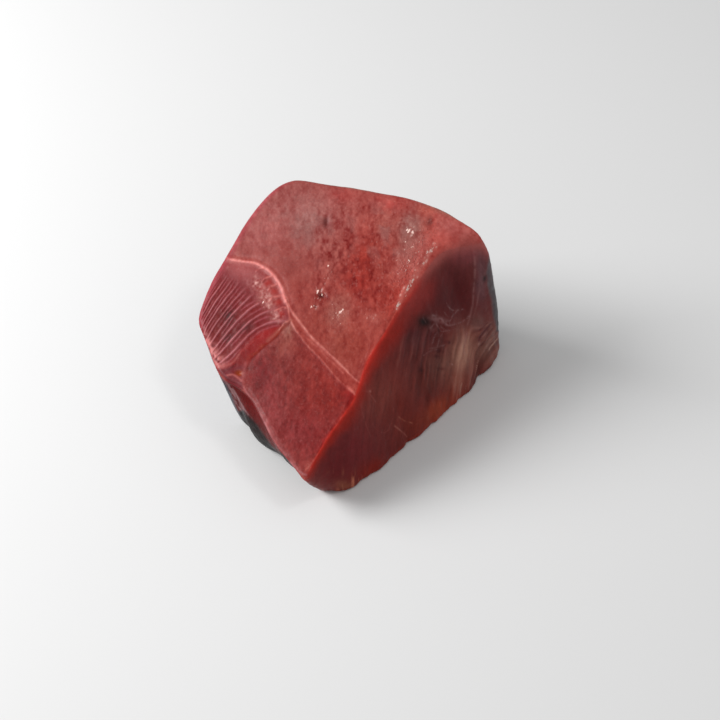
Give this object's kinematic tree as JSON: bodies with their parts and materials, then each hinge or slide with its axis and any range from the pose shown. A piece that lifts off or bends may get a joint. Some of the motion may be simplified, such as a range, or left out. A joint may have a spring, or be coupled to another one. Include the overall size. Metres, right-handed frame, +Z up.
{
  "type": "raw tuna loin",
  "caption": "Thick wedge-shaped block of raw red fish loin with a sloping cut face, a steep cut side and a rounded skin side, resting on a flat underside.",
  "frame": {"origin": "centre of the bounding box in plan, on the flat underside", "axes": "+X to the right, +Y to the back, away from the low tip of the cut face, +Z up; the part rests on its underside as modelled"},
  "size_m": [0.2029, 0.2076, 0.1119],
  "materials": {
    "raw_flesh": null
  },
  "bodies": {
    "root": {"loin": "raw_flesh"}
  },
  "joints": []
}
